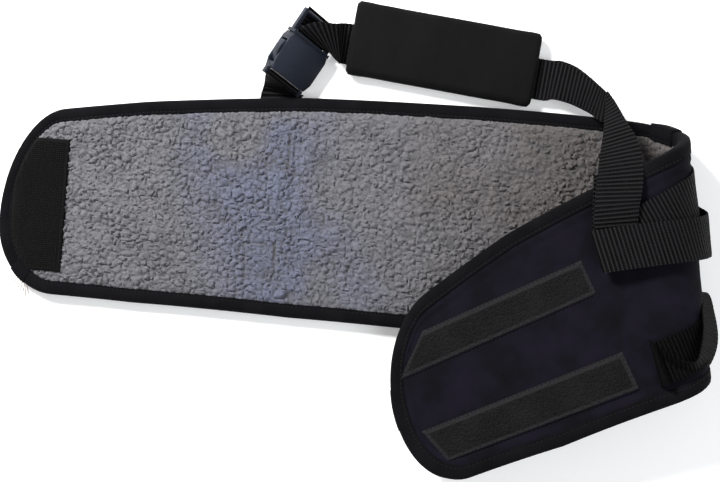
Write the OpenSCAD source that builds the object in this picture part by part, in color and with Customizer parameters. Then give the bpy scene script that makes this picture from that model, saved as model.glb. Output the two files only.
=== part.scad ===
// Fleece-lined wrap band lying on its outer face, with the closure end folded back over it.
// +Z is up, the band runs along X, and the origin is on the table under the middle of the part.

/* [Band panel] */
// Length from the hook tip to the start of the bend
band_len = 476; // [440:1:560]
// Length from the start of the bend to the flap tip
flap_len = 300; // [290:1:340]
// Width at the hook end
hook_w = 128; // [110:1:140]
// Width a quarter of the way along the band
neck_w = 147; // [135:1:155]
// Width in the middle of the band
mid_w = 161; // [150:1:190]
// Width at the bend
fold_w = 173; // [165:1:190]
// Width in the middle of the flap
flap_w = 153; // [140:1:165]
// Width at the flap tip
tip_w = 128; // [120:1:140]
// Length of the rounded ends
end_r = 42; // [36:1:50]

/* [Layers] */
// Thickness of the outer cover
cover_t = 1.2; // [0.8:0.1:2]
// Thickness of the foam core
foam_t = 4.6; // [3:0.1:6]
// Height of the fleece pile
fleece_t = 4.5; // [3:0.1:6]
// Width of the edge binding
bind_w = 10; // [8:0.5:12]
// Thickness of the binding on the fleece side
bind_t = 1; // [0.6:0.1:1.5]

/* [Bend] */
// Radius of the bend at the outer face
bend_r = 29; // [27:0.5:34]
// How far the flap slopes down from the bend, in degrees
flap_slope = 9; // [6:0.5:10]

/* [Closure] */
// Length of the part of the hook end that lifts
hook_lift = 104; // [90:1:120]
// Size of the hook patch along the band
patch_l = 38; // [30:1:40]
// Size of the hook patch across the band
patch_w = 96; // [80:1:100]
// Width of the loop strips on the flap
strip_w = 30; // [25:1:34]
// Thickness of the hook patch and the loop strips
tape_t = 1.6; // [1:0.1:2.4]

/* [Webbing and buckle] */
// Width of the webbing
web_w = 30; // [25:1:32]
// Thickness of the webbing
web_t = 1.4; // [1:0.1:1.6]
// Width of the buckle socket
buckle_w = 38; // [37:1:42]
// Thickness of the buckle
buckle_t = 10.5; // [9:0.5:12]
// Length of the buckle socket
socket_l = 35; // [32:1:40]

/* [Handle] */
// Length of the padded sleeve
sleeve_l = 137; // [110:1:150]
// Width of the padded sleeve
sleeve_w = 54; // [48:1:58]
// Thickness of the padded sleeve
sleeve_t = 14; // [12:0.5:18]
// Wall of the padded sleeve at its two sides
sleeve_wall = 4.4; // [3:0.1:5]

/* [Hidden] */

layer_gap = 0.1;            // between the layers of one panel
joint_gap = 0.6;            // between two panels that fold on each other
cut_gap = 1;                // from the fold of the binding to the cut edge of the panel
cut_play = 0.3;             // between that edge and the inside of the binding
cover_color = "#17171a";
foam_color = "#2b2b2e";
fleece_color = "#8d8f97";
binding_color = "#0d0d10";
web_color = "#1c1c22";
tape_color = "#2a2a2e";
plastic_color = "#20242c";

// ---- Frame of the flat pattern: s runs along the band, t across it, h from the outer face to the fleece

band_tilt = -4.4;           // heading of the band's axis on the table
fold_lean = 9.4;            // how far the bend line leans from square to that axis
bend_reach = 22;            // how far the right loops stand past the bend
fold_x = (band_len * cos(band_tilt) - bend_r - bend_reach) / 2;
fold_y = -19;
under_web = 2 * web_t + 1;  // two layers of webbing lie between the panel and the table
fold_turn = 180 + flap_slope;
fold_arc = bend_r * fold_turn * PI / 180;
bend_end = fold_arc / cos(fold_lean);
s_hook = -band_len + hook_lift;
s_flap = bend_end + 36;     // where the flap's fold line crosses the pattern's axis
flap_slant = 0.175;         // and how it leans, in s for each t
fold_slant = -tan(fold_lean);

// Heights of the layers above the outer face
h_foam = cover_t + layer_gap;
h_leg = h_foam + foam_t + layer_gap;
h_top = h_leg + fleece_t;
h_under = -0.7;             // outer side of the binding's lower leg

// Point of the pattern on the table, then round the bend
function place(s, t, h) =
    let (x = s * cos(band_tilt) - t * sin(band_tilt),
         y = s * sin(band_tilt) + t * cos(band_tilt),
         turn = band_tilt + fold_lean,
         u = x * cos(turn) + y * sin(turn),
         v = -x * sin(turn) + y * cos(turn),
         a = min(max(u / bend_r * 180 / PI, 0), fold_turn),
         past = u < 0 ? u : max(u - fold_arc, 0),
         ru = (bend_r - h) * sin(a) + past * cos(a),
         rz = bend_r - (bend_r - h) * cos(a) + past * sin(a))
    [fold_x + ru * cos(turn) - v * sin(turn), fold_y + ru * sin(turn) + v * cos(turn), under_web + rz];

// ---- Outline of the pattern

crown_s = -200;             // where the centre line is highest
crown_t = 21;
hook_drop = 13;             // fall of the centre line to the hook tip
flap_drop = 65;             // and to the flap tip
flap_bow = 2.47;            // how late that second fall comes
tip_skew = 12;              // the hook tip points this much below the centre line
widths = [[-band_len, hook_w / 2], [-band_len + 101, neck_w / 2], [-260, mid_w / 2],
          [-10, fold_w / 2], [190, flap_w / 2], [flap_len - 25, tip_w / 2]];

function tip_share(s, d) =
    let (q = s < 0 ? (-band_len + end_r - s) / (end_r - d) : (s - flap_len + end_r) / (end_r - d))
    q <= 0 ? 1 : q >= 1 ? 0 : sqrt(1 - q * q);
function centre_t(s) = s < crown_s
    ? crown_t - hook_drop * pow((crown_s - s) / (band_len + crown_s), 2) - tip_skew * (1 - tip_share(s, 0))
    : crown_t - flap_drop * pow((s - crown_s) / (flap_len - crown_s), flap_bow);
function edge_t(s, side, d) = centre_t(s) + side * (lookup(s, widths) - d) * tip_share(s, d);

// A row is a line across the pattern: [s on the axis, slant] or, at a tip, [s of the tip, 0, angle]
function cross_s(row, side, d, n = 5) = n == 0 ? row[0] : row[0] + row[1] * edge_t(cross_s(row, side, d, n - 1), side, d);
function tip_s(row, d) = row[0] < 0 ? row[0] + end_r - (end_r - d) * sin(row[2])
                                    : row[0] - end_r + (end_r - d) * sin(row[2]);
function row_s(row, side, d) = len(row) == 3 ? tip_s(row, d) : cross_s(row, side, d);

tip_angles = [84, 68, 52, 36, 20, 6];
bend_steps = 14;
hook_tip_rows = [for (a = tip_angles) [-band_len, 0, a]];
flap_tip_rows = [for (i = [len(tip_angles) - 1:-1:0]) [flap_len, 0, tip_angles[i]]];
hook_rows = [[-band_len + end_r + 20, 0], [s_hook - joint_gap / 2, 0]];
centre_rows = concat(
    [[s_hook + joint_gap / 2, 0], [0.85 * s_hook, 0], [0.7 * s_hook, 0],
     [0.48 * s_hook, fold_slant / 3], [0.24 * s_hook, fold_slant / 2]],
    [for (i = [0:bend_steps]) [bend_end * i / bend_steps, fold_slant]],
    [[s_flap - joint_gap / 2, flap_slant]]);
flap_run = flap_len - end_r - s_flap;
flap_rows = [[s_flap + joint_gap / 2, flap_slant], [s_flap + 0.26 * flap_run, flap_slant / 2],
             [s_flap + 0.46 * flap_run, 0], [s_flap + 0.74 * flap_run, 0]];

// ---- Solids made of rows of rings

// A closed solid through rings of points, each ring the same number of points in the same order
module loft(rings) {
    m = len(rings[0]);
    n = len(rings);
    polyhedron(
        points = [for (r = rings) for (p = r) p],
        faces = concat(
            [[for (i = [m - 1:-1:0]) i], [for (i = [0:m - 1]) (n - 1) * m + i]],
            [for (k = [0:n - 2]) for (i = [0:m - 1])
                let (j = (i + 1) % m) each [
                    [k * m + i, k * m + j, (k + 1) * m + j],
                    [k * m + i, (k + 1) * m + j, (k + 1) * m + i]]]),
        convexity = 8);
}

// One layer of a panel between two heights, held back d from the edge
module layer(rows, d, h0, h1) {
    loft([for (r = rows)
        let (sb = row_s(r, -1, d), st = row_s(r, 1, d), tb = edge_t(sb, -1, d), tt = edge_t(st, 1, d))
        [place(sb, tb, h0), place(sb, tb, h1), place(st, tt, h1), place(st, tt, h0)]]);
}

// Section of the folded binding: [distance from the edge, height]
binding_section = [[0, h_under], [bind_w, h_under], [bind_w, -layer_gap], [cut_gap - cut_play, -layer_gap],
                   [cut_gap - cut_play, h_leg], [bind_w, h_leg], [bind_w, h_leg + bind_t], [0, h_leg + bind_t]];

function binding_ring(row, side) = [for (p = binding_section)
    let (s = row_s(row, side, p[0])) place(s, edge_t(s, side, p[0]), p[1])];

module binding_side(rows, side) {
    rings = [for (r = rows) binding_ring(r, side)];
    loft(side > 0 ? rings : [for (i = [len(rings) - 1:-1:0]) rings[i]]);
}

// Binding round a rounded end, from the lower edge over the tip to the upper edge
module binding_end(plain_rows, tip) {
    rows = tip < 0 ? concat(hook_tip_rows, plain_rows) : concat(flap_tip_rows_reversed, plain_rows);
    lower = [for (i = [len(rows) - 1:-1:0]) binding_ring(rows[i], -1)];
    upper = [for (r = rows) binding_ring(r, 1)];
    rings = concat(lower, upper);
    loft(tip < 0 ? rings : [for (i = [len(rings) - 1:-1:0]) rings[i]]);
}
flap_tip_rows_reversed = [for (a = tip_angles) [flap_len, 0, a]];

module cover_layer(rows) color(cover_color) layer(rows, cut_gap, 0, cover_t);
module foam_layer(rows) color(foam_color) layer(rows, cut_gap, h_foam, h_foam + foam_t);
module fleece_layer(rows) color(fleece_color) layer(rows, bind_w + 0.2, h_leg, h_top);

// ---- Centre panel with the bend

module centre_cover() cover_layer(centre_rows);
module centre_foam() foam_layer(centre_rows);
module centre_fleece() fleece_layer(centre_rows);
module centre_binding() color(binding_color) {
    binding_side(centre_rows, 1);
    binding_side(centre_rows, -1);
}

// ---- Hook end

module hook_cover() cover_layer(concat(hook_tip_rows, hook_rows));
module hook_foam() foam_layer(concat(hook_tip_rows, hook_rows));
module hook_fleece() fleece_layer(concat(hook_tip_rows, hook_rows));
module hook_binding() color(binding_color)
    binding_end(hook_rows, -1);

patch_s = -band_len + bind_w + 1;      // the patch starts at the binding
patch_t = 9;                           // middle of the patch across the band
module hook_patch() color(tape_color)
    loft([for (s = [patch_s, patch_s + 5, patch_s + 12, patch_s + patch_l])
        let (lift = h_top + 0.1,
             half = min(patch_w / 2, (edge_t(s, 1, bind_w + 1) - edge_t(s, -1, bind_w + 1)) / 2),
             mid = (edge_t(s, 1, bind_w + 1) + edge_t(s, -1, bind_w + 1)) / 2,
             low = half < patch_w / 2 ? mid - half : patch_t - half,
             high = half < patch_w / 2 ? mid + half : patch_t + half)
        [place(s, low, lift), place(s, low, lift + tape_t), place(s, high, lift + tape_t), place(s, high, lift)]]);

// ---- Closure flap

module flap_cover() cover_layer(concat(flap_rows, flap_tip_rows));
module flap_foam() foam_layer(concat(flap_rows, flap_tip_rows));
module flap_fleece() fleece_layer(concat(flap_rows, flap_tip_rows));
module flap_binding() color(binding_color)
    binding_end([for (i = [len(flap_rows) - 1:-1:0]) flap_rows[i]], 1);

// A strip of loop tape between two points of the pattern, with its upper far corner trimmed
trimmed_side = -0.2;        // the trimmed corner reaches this share of the half width
module loop_strip(from, to, trim) {
    dir = (to - from) / norm(to - from);
    across = [-dir[1], dir[0]] * strip_w / 2;
    color(tape_color)
        loft([for (k = [0, 1, 2])
            let (c = k == 0 ? from : k == 1 ? to - dir * trim : to,
                 p = c + across * (k == 2 ? trimmed_side : 1),
                 q = c - across)
            [place(p[0], p[1], -layer_gap), place(p[0], p[1], -tape_t),
             place(q[0], q[1], -tape_t), place(q[0], q[1], -layer_gap)]]);
}
module loop_strip_upper() loop_strip([s_flap + 11, 19.5], [flap_len - 16, -4.5], 24);
module loop_strip_lower() loop_strip([s_flap, -49], [flap_len - 26, -68], 6);

// ---- Webbing

// A strip of webbing that leaves `from`, turns in an eye at `to` and comes back over itself.
// near and far are the heights of its two layers at the start, eye_near and eye_far at the eye.
function smooth(x) = let (c = min(max(x, 0), 1)) c * c * (3 - 2 * c);
function hairpin(len_q, near, far, eye_near, eye_far, open_q) =
    let (steps = 40, r = (eye_near - eye_far) / 2,
         run = len_q - r)
    concat(
        [for (i = [0:steps]) let (q = run * i / steps)
            [q, near + (eye_near - near) * smooth((q - open_q) / (run - open_q) * 2)]],
        [for (a = [20:20:160]) [run + r * sin(a), (eye_near + eye_far) / 2 + r * cos(a)]],
        [for (i = [steps:-1:0]) let (q = run * i / steps)
            [q, far + (eye_far - far) * smooth((q - open_q) / (run - open_q) * 2)]]);
function side_step(path, i) =
    let (a = path[max(i - 1, 0)], b = path[min(i + 1, len(path) - 1)], d = (b - a) / norm(b - a))
    [-d[1], d[0]] * web_t / 2;
// On the bend its sections lie along the bend line, so that both layers stay flat across their width.
bend_dir = [cos(fold_lean), sin(fold_lean)];
function on_bend(p) = smooth((p * bend_dir + 20) / 15) * smooth((fold_arc + 8 - p * bend_dir) / 8);
module web_hairpin(from, to, near, far, eye_near, eye_far, open_q) {
    dir = (to - from) / norm(to - from);
    square_on = [-dir[1], dir[0]];
    skew = cross(bend_dir, dir) / (bend_dir * dir);
    path = hairpin(norm(to - from), near, far, eye_near, eye_far, open_q);
    color(web_color)
        loft([for (i = [0:len(path) - 1])
            let (n = side_step(path, i), a = path[i] + n, b = path[i] - n,
                 pa = from + dir * a[0], pb = from + dir * b[0],
                 across = (square_on + dir * skew * on_bend(from + dir * path[i][0])) * web_w / 2)
            [place(pa[0] + across[0], pa[1] + across[1], a[1]), place(pa[0] - across[0], pa[1] - across[1], a[1]),
             place(pb[0] - across[0], pb[1] - across[1], b[1]), place(pb[0] + across[0], pb[1] + across[1], b[1])]]);
}

web_near = h_under - 0.1 - web_t / 2;           // layer against the binding
web_far = web_near - web_t - layer_gap;         // layer on the table
module web_loop_upper_right() web_hairpin([-112, 70], [bend_end + 37, 35], web_near, web_far, -6.5, -13, 118);
module web_loop_lower_right() web_hairpin([-112, -20], [bend_end + 17, -48], web_near, web_far, web_near, -13, 128);
module web_loop_lower_left() web_hairpin([-282, 0], [-282, -50], web_near, web_far, web_near, web_far, 20);

// ---- Buckle: local y runs along it from the socket's bar, x across it, z out of its face

buckle_heading = 56;
buckle_roll = 42;
buckle_at = [fold_x - 267.8, fold_y + 122.6 + buckle_w / 2 * cos(buckle_roll) * cos(buckle_heading),
             under_web + 2.5 + buckle_w / 2 * sin(buckle_roll)];
bar_r = 1.7;                // bars that webbing wraps round
slot_l = web_t + 3.2;       // slot between the socket's bar and its body
buckle_wall = 1.8;          // front and back walls of the socket
side_wall = 3.2;
mouth_y = socket_l - bar_r;
window = [9, 27];           // where the side windows begin and end
plug_gap = 0.3;             // clearance of the plug in the socket
plug_l = 20;                // length of the plug outside the socket
inner_bar_y = mouth_y + 6.6;
arm_pivot_y = mouth_y - 0.6;
arm_pivot_x = 11.5;
module in_buckle() translate(buckle_at) rotate([0, 0, buckle_heading - 90]) rotate([0, buckle_roll, 0]) children();

// A plate with an outline given on its right half, mirrored to the left
module mirrored_plate(right, thick)
    translate([0, 0, -thick / 2])
        linear_extrude(thick)
            polygon(concat(right, [for (i = [len(right) - 1:-1:0]) [-right[i][0], right[i][1]]]));
module slab(x0, x1, y0, y1, thick) translate([x0, y0, -thick / 2]) cube([x1 - x0, y1 - y0, thick]);
module both_sides() {
    children();
    mirror([1, 0, 0]) children();
}
module bar(y, half) translate([-half, y, 0]) rotate([0, 90, 0]) cylinder(r = bar_r, h = 2 * half, $fn = 32);

module buckle_socket() color(plastic_color) in_buckle() {
    half = buckle_w / 2;
    hollow = buckle_t - 2 * buckle_wall;
    difference() {
        mirrored_plate([[half - 2.5, bar_r + slot_l], [half, bar_r + slot_l + 4], [half, mouth_y - 4],
                        [half - 1.5, mouth_y]], buckle_t);
        slab(-half + side_wall, half - side_wall, window[0], mouth_y + 1, hollow);
        both_sides() slab(half - side_wall - 1, half + 1, window[0], window[1], hollow);
    }
    bar(0, half - 3);
    both_sides() slab(half - 3.2, half - 0.2, -bar_r, bar_r + slot_l, 2 * bar_r);
}

module buckle_plug() color(plastic_color) in_buckle() {
    half = buckle_w / 2;
    slab(-half + 0.4, half - 0.4, mouth_y + plug_gap, mouth_y + 2.6, buckle_t - 1);
    both_sides() slab(half - 3.4, half - 0.4, mouth_y + 2.6, mouth_y + plug_l, 2 * bar_r);
    bar(inner_bar_y, half - 3.4);
    bar(mouth_y + plug_l - bar_r, half - 3.4);
    slab(-4, 4, window[0] + 6, mouth_y + plug_gap, 3);
}

// One sprung arm, whose shoulder stands out through the socket's side window
module release_arm(side) {
    half = buckle_w / 2;
    root = arm_pivot_y;
    color(plastic_color) in_buckle()
        mirror([side < 0 ? 1 : 0, 0, 0])
            translate([0, 0, -3])
                linear_extrude(6)
                    polygon([[arm_pivot_x - 2, root], [arm_pivot_x + 1.5, root], [arm_pivot_x + 2, window[1]],
                             [half + 0.5, window[1] - 1.5], [half + 2, window[1] - 7], [half + 1, window[0] + 6],
                             [half - 2, window[0] + 1], [half - 5, window[0] + 1], [half - 4, window[1] - 8],
                             [arm_pivot_x - 1, window[1] - 3]]);
}
module release_arm_left() release_arm(-1);
module release_arm_right() release_arm(1);

// Directions of the buckle on the table
along_buckle = [cos(buckle_heading), sin(buckle_heading), 0];
across_buckle = [cos(buckle_roll) * sin(buckle_heading), -cos(buckle_roll) * cos(buckle_heading), -sin(buckle_roll)];
out_of_buckle = [sin(buckle_roll) * sin(buckle_heading), -sin(buckle_roll) * cos(buckle_heading), cos(buckle_roll)];
wrap_r = bar_r + 0.3 + web_t / 2;

// ---- Webbing that leaves the plane of the pattern

// A ribbon through pairs of points on its two edges
module ribbon(pairs) {
    n = len(pairs) - 1;
    color(web_color)
        loft([for (i = [0:n])
            let (p = pairs[i], before = pairs[max(i - 1, 0)], after = pairs[min(i + 1, n)],
                 run = (after[0] + after[1]) - (before[0] + before[1]),
                 out = cross(run, p[1] - p[0]),
                 up = out / norm(out) * web_t / 2)
            [p[0] + up, p[1] + up, p[1] - up, p[0] - up]]);
}
function web_pair(centre, half) = [centre - half, centre + half];
// Turn round a bar of the buckle, from its back to its face or from its face to its back
function bar_turn(y, from, to, steps = 6) = [for (i = [0:steps])
    let (a = from + (to - from) * i / steps)
    web_pair(buckle_at + along_buckle * (y + wrap_r * cos(a)) + out_of_buckle * wrap_r * sin(a),
             across_buckle * web_w / 2)];

eye_s = -278;               // where the upper left loop leaves the band
eye_t = 102;
module web_loop_upper_left()
    ribbon(concat(
        [for (t = [60, 90, eye_t]) web_pair(place(eye_s, t, web_near), [web_w / 2, 0, 0])],
        [web_pair(place(eye_s + 2, eye_t + 4, web_near + 3), [web_w / 2 - 1, -4, -4])],
        bar_turn(0, 110, -90),
        [web_pair(place(eye_s + 1, eye_t + 3, web_far + 1), [web_w / 2 - 1, -4, 0])],
        [for (t = [eye_t - 1, 90, 60]) web_pair(place(eye_s, t, web_far), [web_w / 2, 0, 0])]));

// ---- Handle

sleeve_heading = -10.4;
sleeve_at = [fold_x - 149.8, fold_y + 153, sleeve_t / 2 + 0.2];
strap_shift = -5.5;         // the strap runs nearer the sleeve's lower side
strap_play = 0.8;           // above and below the strap in the sleeve
strap_end = sleeve_l / 2 + 12;
module in_sleeve() translate(sleeve_at) rotate([0, 0, sleeve_heading]) children();
function on_sleeve(x, y, z = 0) = sleeve_at + [x * cos(sleeve_heading) - y * sin(sleeve_heading),
                                               x * sin(sleeve_heading) + y * cos(sleeve_heading), z];
function strap_pair(x) = [on_sleeve(x, strap_shift + web_w / 2), on_sleeve(x, strap_shift - web_w / 2)];

module stadium(w, t) {
    square([w - t, t], center = true);
    for (x = [-1, 1]) translate([x * (w - t) / 2, 0]) circle(d = t, $fn = 48);
}
module grip_sleeve() color(cover_color) in_sleeve()
    translate([-sleeve_l / 2, 0, 0]) rotate([90, 0, 90])
        linear_extrude(sleeve_l)
            difference() {
                stadium(sleeve_w, sleeve_t);
                stadium(sleeve_w - 2 * sleeve_wall, web_t + 2 * strap_play);
            }

tail_y = inner_bar_y + 16;   // where the strap's folded end stops
function tail_pair(y) = web_pair(buckle_at + along_buckle * y - out_of_buckle * wrap_r, across_buckle * web_w / 2);
module handle_strap()
    ribbon(concat(
        [tail_pair(tail_y)],
        bar_turn(inner_bar_y, -90, -260),
        [[buckle_at + [26, 42, 9.5], buckle_at + [38, 18, -5]],
         [buckle_at + [39, 42.5, 1], buckle_at + [42, 15, -7]]],
        [for (x = [-sleeve_l / 2 - 2, 0, strap_end]) strap_pair(x)]));

// The strap rises from the sleeve, turns down the table and drops into the eye on the bend.
// Its points are measured from the middle of the sleeve, and climb with the bend.
fall_rise = bend_r / 29;
function fall_point(p) = sleeve_at + [p[0], p[1], p[2] * fall_rise];
fall_lower = [[95, -38, 4], [104, -43, 9], [108, -46, 17], [109, -51, 29], [107, -59, 39],
              [105, -71, 50], [102, -83, 56], [100, -93, 59]];
fall_upper = [[103, -15, 6], [113, -25, 14], [117, -32, 23], [121, -42, 33], [125, -53, 42],
              [130, -67, 51], [132, -81, 57], [131, -92, 60]];
eye_q = [bend_end + 4, bend_end + 34];      // sides of the strap's eye along the pattern
eye_high = -9.8;
eye_low = -3.2;
module strap_fall()
    ribbon(concat([strap_pair(strap_end + 1)],
                  [for (i = [0:len(fall_lower) - 1]) [fall_point(fall_upper[i]), fall_point(fall_lower[i])]],
                  [[place(eye_q[0], 81, eye_high), place(eye_q[1], 81, eye_high)]]));
module strap_eye()
    web_hairpin([(eye_q[0] + eye_q[1]) / 2, 80], [(eye_q[0] + eye_q[1]) / 2, 14],
                eye_low, eye_high, eye_low, eye_high, 10);

centre_cover();
centre_foam();
centre_fleece();
centre_binding();
hook_cover();
hook_foam();
hook_fleece();
hook_binding();
hook_patch();
flap_cover();
flap_foam();
flap_fleece();
flap_binding();
loop_strip_upper();
loop_strip_lower();
web_loop_upper_right();
web_loop_lower_right();
web_loop_lower_left();
web_loop_upper_left();
buckle_socket();
buckle_plug();
release_arm_left();
release_arm_right();
handle_strap();
strap_fall();
strap_eye();
grip_sleeve();
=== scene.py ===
import math

import bmesh
import bpy
import numpy as np
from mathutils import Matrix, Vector


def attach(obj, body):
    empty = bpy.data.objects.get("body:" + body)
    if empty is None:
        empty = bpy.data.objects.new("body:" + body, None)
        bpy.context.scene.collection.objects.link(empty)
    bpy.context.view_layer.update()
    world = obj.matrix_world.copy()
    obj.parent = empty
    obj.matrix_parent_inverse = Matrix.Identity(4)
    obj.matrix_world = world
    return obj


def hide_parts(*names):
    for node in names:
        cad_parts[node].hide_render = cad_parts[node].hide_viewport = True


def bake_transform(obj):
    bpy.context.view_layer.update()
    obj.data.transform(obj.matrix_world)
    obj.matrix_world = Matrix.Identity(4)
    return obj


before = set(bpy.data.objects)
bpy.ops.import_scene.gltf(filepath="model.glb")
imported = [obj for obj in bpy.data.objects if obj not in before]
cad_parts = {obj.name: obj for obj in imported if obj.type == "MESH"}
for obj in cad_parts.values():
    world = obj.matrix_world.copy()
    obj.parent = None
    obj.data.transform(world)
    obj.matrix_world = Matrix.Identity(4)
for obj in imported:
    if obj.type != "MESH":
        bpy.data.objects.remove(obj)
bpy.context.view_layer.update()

MM = 0.001


# ---- The flat pattern, in millimetres: s along the band, t across it, h up from the outer face

BAND_LEN = 476.0
FLAP_LEN = 300.0
END_R = 42.0
BEND_R = 29.0
TILT = math.radians(-4.4)
LEAN = math.radians(9.4)
TURN = TILT + LEAN
FOLD_TURN = math.radians(189)
ARC = BEND_R * FOLD_TURN
FOLD_X = (BAND_LEN * math.cos(TILT) - BEND_R - 22) / 2
FOLD_Y = -19.0
UNDER = 3.8
CROWN_S = -200.0
CROWN_T = 21.0
HALF_S = [-476, -375, -260, -10, 190, 275]
HALF_W = [64, 73.5, 80.5, 86.5, 76.5, 64]
H_FOAM = 1.3
H_TOP = 10.5
H_RIM = 6.9
PILE_RUN = 7.5
HOOK_S = -372.0
FLAP_S = 133.0
FLAP_SLANT = 0.175
WEB_W = 30.0
WEB_T = 1.4


def place(s, t, h):
    """Points of the pattern on the table, then round the bend, as part.scad lays them."""
    s, t, h = np.broadcast_arrays(np.asarray(s, float), np.asarray(t, float), np.asarray(h, float))
    x = s * math.cos(TILT) - t * math.sin(TILT)
    y = s * math.sin(TILT) + t * math.cos(TILT)
    u = x * math.cos(TURN) + y * math.sin(TURN)
    v = -x * math.sin(TURN) + y * math.cos(TURN)
    a = np.clip(u / BEND_R, 0, FOLD_TURN)
    past = np.where(u < 0, u, np.maximum(u - ARC, 0))
    ru = (BEND_R - h) * np.sin(a) + past * np.cos(a)
    rz = BEND_R - (BEND_R - h) * np.cos(a) + past * np.sin(a)
    return np.stack([FOLD_X + ru * math.cos(TURN) - v * math.sin(TURN),
                     FOLD_Y + ru * math.sin(TURN) + v * math.cos(TURN), UNDER + rz], -1)


def tip_share(s, d):
    q = np.where(s < 0, (-BAND_LEN + END_R - s) / (END_R - d), (s - FLAP_LEN + END_R) / (END_R - d))
    return np.sqrt(1 - np.clip(q, 0, 1) ** 2)


def centre_t(s):
    left = CROWN_T - 13 * (np.maximum(CROWN_S - s, 0) / (BAND_LEN + CROWN_S)) ** 2
    left -= 12 * (1 - tip_share(s, 0))
    right = CROWN_T - 65 * (np.maximum(s - CROWN_S, 0) / (FLAP_LEN - CROWN_S)) ** 2.47
    return np.where(s < CROWN_S, left, right)


def edge_t(s, side, d):
    s = np.asarray(s, float)
    return centre_t(s) + side * (np.interp(s, HALF_S, HALF_W) - d) * tip_share(s, d)


# ---- Noise

def lattice(ix, iy, seed):
    n = (ix * 374761393 + iy * 668265263 + seed * 974634777) & 0xFFFFFFFF
    n = ((n ^ (n >> 13)) * 1274126177) & 0xFFFFFFFF
    n = ((n ^ (n >> 15)) * 2246822519) & 0xFFFFFFFF
    return ((n ^ (n >> 16)) & 0xFFFFFF) / float(0xFFFFFF)


def noise(x, y, size, seed=0):
    """Smooth noise from -1 to 1 with features of that size."""
    x, y = x / size, y / size
    ix, iy = np.floor(x).astype(np.int64), np.floor(y).astype(np.int64)
    fx, fy = x - ix, y - iy
    fx, fy = fx * fx * (3 - 2 * fx), fy * fy * (3 - 2 * fy)
    a = lattice(ix, iy, seed) * (1 - fx) + lattice(ix + 1, iy, seed) * fx
    b = lattice(ix, iy + 1, seed) * (1 - fx) + lattice(ix + 1, iy + 1, seed) * fx
    return 2 * (a * (1 - fy) + b * fy) - 1


def cells(x, y, size, seed=0):
    """Distance to the nearest and second nearest scattered point, in cell sizes, and the cell's number."""
    x, y = x / size, y / size
    ix, iy = np.floor(x).astype(np.int64), np.floor(y).astype(np.int64)
    first = np.full(x.shape, 9.0)
    second = np.full(x.shape, 9.0)
    own = np.zeros(x.shape)
    for dx in (-1, 0, 1):
        for dy in (-1, 0, 1):
            jx, jy = ix + dx, iy + dy
            px = jx + lattice(jx, jy, seed)
            py = jy + lattice(jx, jy, seed + 1)
            dist = np.hypot(x - px, y - py)
            nearer = dist < first
            second = np.where(nearer, first, np.minimum(second, dist))
            own = np.where(nearer, lattice(jx, jy, seed + 2), own)
            first = np.where(nearer, dist, first)
    return first, second, own


def smooth(x):
    x = np.clip(x, 0, 1)
    return x * x * (3 - 2 * x)


def quarter_round(inside, run):
    """From 0 at an edge to 1 at the distance run inside it, rising as a quarter of a circle."""
    return np.sqrt(np.clip(1 - (1 - np.clip(inside / run, 0, 1)) ** 2, 0, 1))


def distance_along(points):
    """How far along a line each of its points lies."""
    return np.concatenate([[0], np.cumsum(np.linalg.norm(np.diff(points, axis=0), axis=1))])


# ---- Meshes

def pattern_uv(s, t):
    return np.stack([s * MM, t * MM], -1)


def mesh_object(name, verts, faces, material, uv=None, marks=None):
    """A smooth piece from points in millimetres, with a uv in metres and named marks for each vertex."""
    verts = np.asarray(verts, float).reshape(-1, 3) * MM
    mesh = bpy.data.meshes.new(name)
    mesh.from_pydata(verts.tolist(), [], [list(f) for f in faces])
    if uv is not None:
        uv = np.asarray(uv, float).reshape(-1, 2)
        index = np.empty(len(mesh.loops), np.int32)
        mesh.loops.foreach_get("vertex_index", index)
        mesh.uv_layers.new(name="lay").data.foreach_set("uv", uv[index].astype(np.float32).ravel())
    for key, values in (marks or {}).items():
        mesh.attributes.new(key, "FLOAT", "POINT").data.foreach_set(
            "value", np.asarray(values, np.float32).ravel())
    bm = bmesh.new()
    bm.from_mesh(mesh)
    bmesh.ops.recalc_face_normals(bm, faces=bm.faces)
    bm.to_mesh(mesh)
    bm.free()
    mesh.polygons.foreach_set("use_smooth", [True] * len(mesh.polygons))
    mesh.set_sharp_from_angle(angle=math.radians(72))
    mesh.materials.append(material)
    piece = bpy.data.objects.new(name, mesh)
    bpy.context.scene.collection.objects.link(piece)
    return piece


def grid_faces(n, m, start=0):
    i = (np.arange(n - 1)[:, None] * m + np.arange(m - 1)[None, :]).ravel() + start
    return np.stack([i, i + 1, i + m + 1, i + m], -1)


def skin_faces(n, m, looped=False):
    """Faces of a skin through n rings of m points."""
    i = np.arange(n if looped else n - 1)[:, None]
    j = np.arange(m)[None, :]
    k, l = (i + 1) % n, (j + 1) % m
    return np.stack([i * m + j, i * m + l, k * m + l, k * m + j], -1).reshape(-1, 4)


def slab(name, top, bottom, material, uv=None, marks=None):
    """A closed sheet between two grids of the same size."""
    n, m = top.shape[:2]
    count = n * m
    ring = np.concatenate([np.arange(m), np.arange(1, n) * m + m - 1,
                           (n - 1) * m + np.arange(m - 2, -1, -1), np.arange(n - 2, 0, -1) * m])
    after = np.roll(ring, -1)
    walls = np.stack([ring, ring + count, after + count, after], -1)
    faces = np.concatenate([grid_faces(n, m)[:, ::-1], grid_faces(n, m, count), walls])
    both = None if uv is None else np.concatenate([uv.reshape(-1, 2)] * 2)
    twice = {k: np.concatenate([v.ravel(), v.ravel()]) for k, v in (marks or {}).items()}
    verts = np.concatenate([top.reshape(-1, 3), bottom.reshape(-1, 3)])
    return mesh_object(name, verts, faces, material, both, twice)


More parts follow.
